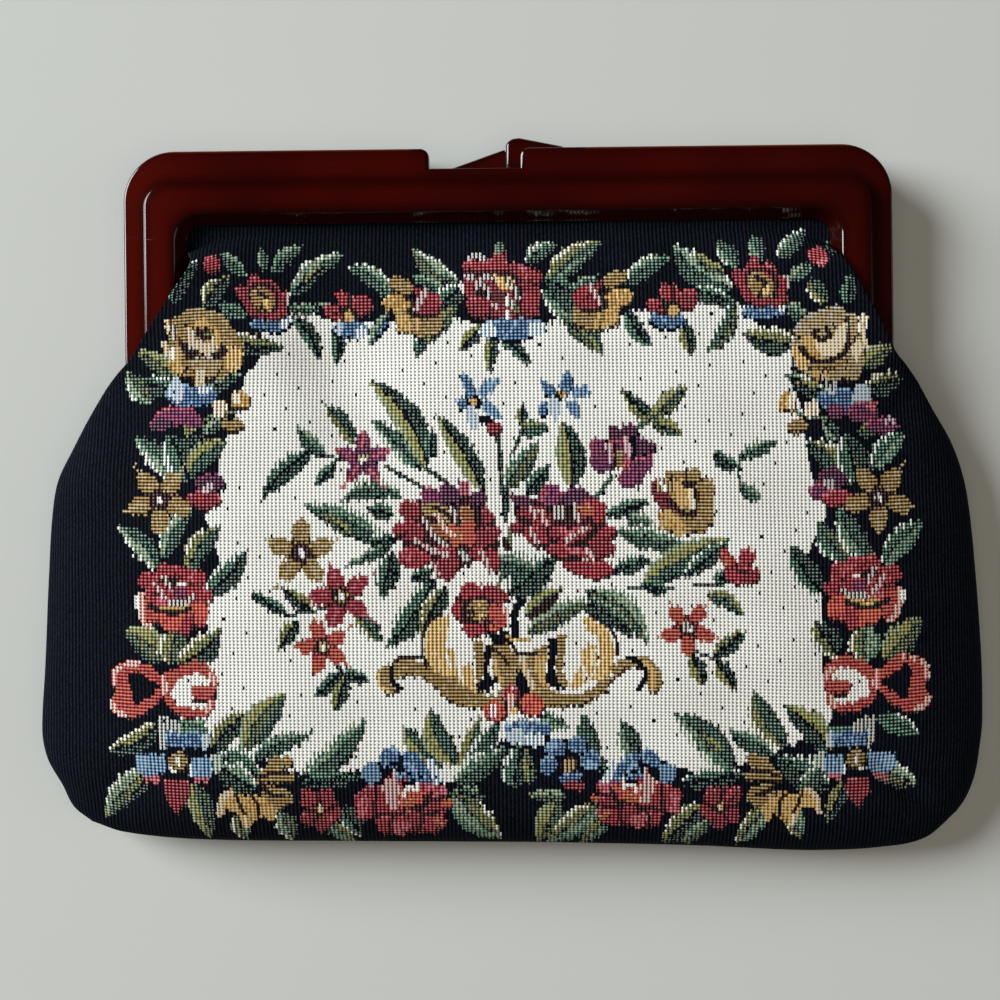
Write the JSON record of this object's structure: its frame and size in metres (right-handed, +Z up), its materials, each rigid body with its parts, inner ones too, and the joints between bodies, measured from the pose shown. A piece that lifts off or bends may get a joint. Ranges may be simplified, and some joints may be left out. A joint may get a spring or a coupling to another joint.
{
  "type": "framed clutch bag",
  "caption": "Soft tapestry clutch lying on its back: a hollow woven cloth pouch hung from a rigid hinged plastic frame that snaps shut along its top edge.",
  "frame": {"origin": "centre of the bounding box, on the surface that the bag lies on", "axes": "+X along the frame's top bar to the right, +Y from the bag's bottom towards the clasp, +Z up out of the front panel"},
  "size_m": [0.2508, 0.1905, 0.0254],
  "materials": {
    "oxblood_plastic": "polished, slightly translucent dark red",
    "tapestry": "woven floral tapestry, matt",
    "hinge_metal": "plain drawn wire"
  },
  "bodies": {
    "root": {"front_frame": "oxblood_plastic", "back_frame": "oxblood_plastic", "hinge_pin_left": "hinge_metal", "hinge_pin_right": "hinge_metal", "tapestry_front": "tapestry", "tapestry_back": "tapestry"}
  },
  "joints": []
}
